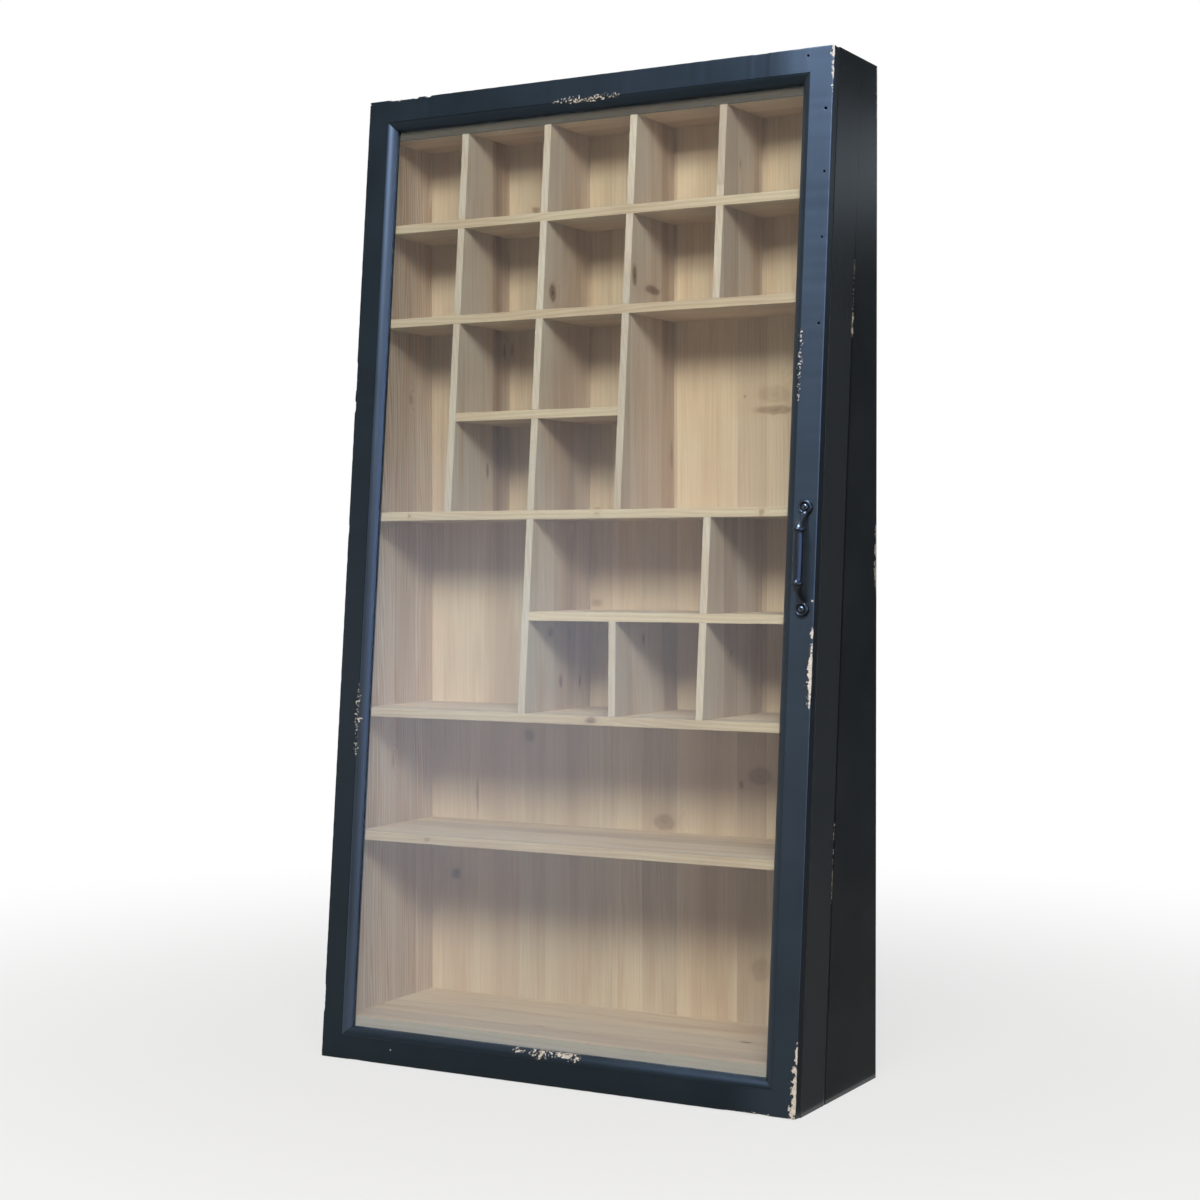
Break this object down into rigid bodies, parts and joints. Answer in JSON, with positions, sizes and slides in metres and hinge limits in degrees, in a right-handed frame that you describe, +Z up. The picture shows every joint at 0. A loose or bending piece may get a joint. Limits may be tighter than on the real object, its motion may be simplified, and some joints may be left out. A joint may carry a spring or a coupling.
{
  "type": "wall display cabinet",
  "caption": "Wall display cabinet with a slanted glazed door over a bare wood grid of square compartments and wider shelves, in worn black paint outside.",
  "frame": {"origin": "bottom centre of the back, on the wall plane", "axes": "+X to the right seen from the front, +Y into the wall, +Z up"},
  "size_m": [0.5394, 0.2003, 1.005],
  "materials": {
    "painted_wood": "satin black paint worn through on the edges",
    "bare_wood": "bare planed softwood",
    "glass": "clear",
    "cast_iron": "black, worn bright in spots",
    "steel": "plain steel",
    "rubber": "matt"
  },
  "bodies": {
    "case": {"back_panel": "bare_wood", "back_panel_nails": "steel", "bottom_board": "painted_wood", "bumper_pads": "rubber", "case_dowels": "bare_wood", "case_hinge_leaves": "steel", "case_hinge_screws": "steel", "catch_magnet": "steel", "ceiling_board": "bare_wood", "divider_1_shelf_0_to_1": "bare_wood", "divider_1_shelf_1_to_2": "bare_wood", "divider_1_shelf_2_to_4": "bare_wood", "divider_2_shelf_0_to_1": "bare_wood", "divider_2_shelf_1_to_2": "bare_wood", "divider_2_shelf_2_to_3": "bare_wood", "divider_2_shelf_3_to_4": "bare_wood", "divider_2_shelf_4_to_6": "bare_wood", "divider_3_shelf_0_to_1": "bare_wood", "divider_3_shelf_1_to_2": "bare_wood", "divider_3_shelf_2_to_4": "bare_wood", "divider_3_shelf_5_to_6": "bare_wood", "divider_4_shelf_0_to_1": "bare_wood", "divider_4_shelf_1_to_2": "bare_wood", "divider_4_shelf_4_to_5": "bare_wood", "divider_4_shelf_5_to_6": "bare_wood", "floor_board": "bare_wood", "hanger_plates": "steel", "hanger_screws": "steel", "hinge_pins": "steel", "shelf_1": "bare_wood", "shelf_2": "bare_wood", "shelf_3": "bare_wood", "shelf_4": "bare_wood", "shelf_5": "bare_wood", "shelf_6": "bare_wood", "shelf_7": "bare_wood", "side_left_front_stave": "painted_wood", "side_left_rear_stave": "painted_wood", "side_right_front_stave": "painted_wood", "side_right_rear_stave": "painted_wood", "top_board": "painted_wood"},
    "door": {"door_handle": "cast_iron", "door_hinge_leaves": "steel", "door_hinge_screws": "steel", "door_moulding_bottom": "painted_wood", "door_moulding_left": "painted_wood", "door_moulding_right": "painted_wood", "door_moulding_top": "painted_wood", "door_rail_bottom": "painted_wood", "door_rail_top": "painted_wood", "door_stile_left": "painted_wood", "door_stile_right": "painted_wood", "glass_pane": "glass", "glazing_beads_level": "bare_wood", "glazing_beads_upright": "bare_wood", "handle_screws": "steel", "strike_disc": "steel", "strike_screw": "steel"}
  },
  "joints": [
    {"name": "door_hinge", "type": "hinge", "parent": "case", "child": "door", "pos_m": [-0.2699, -0.17799, 0.10951], "axis": [0, -0.0906, -0.9959], "range_deg": [0, 170]}
  ]
}
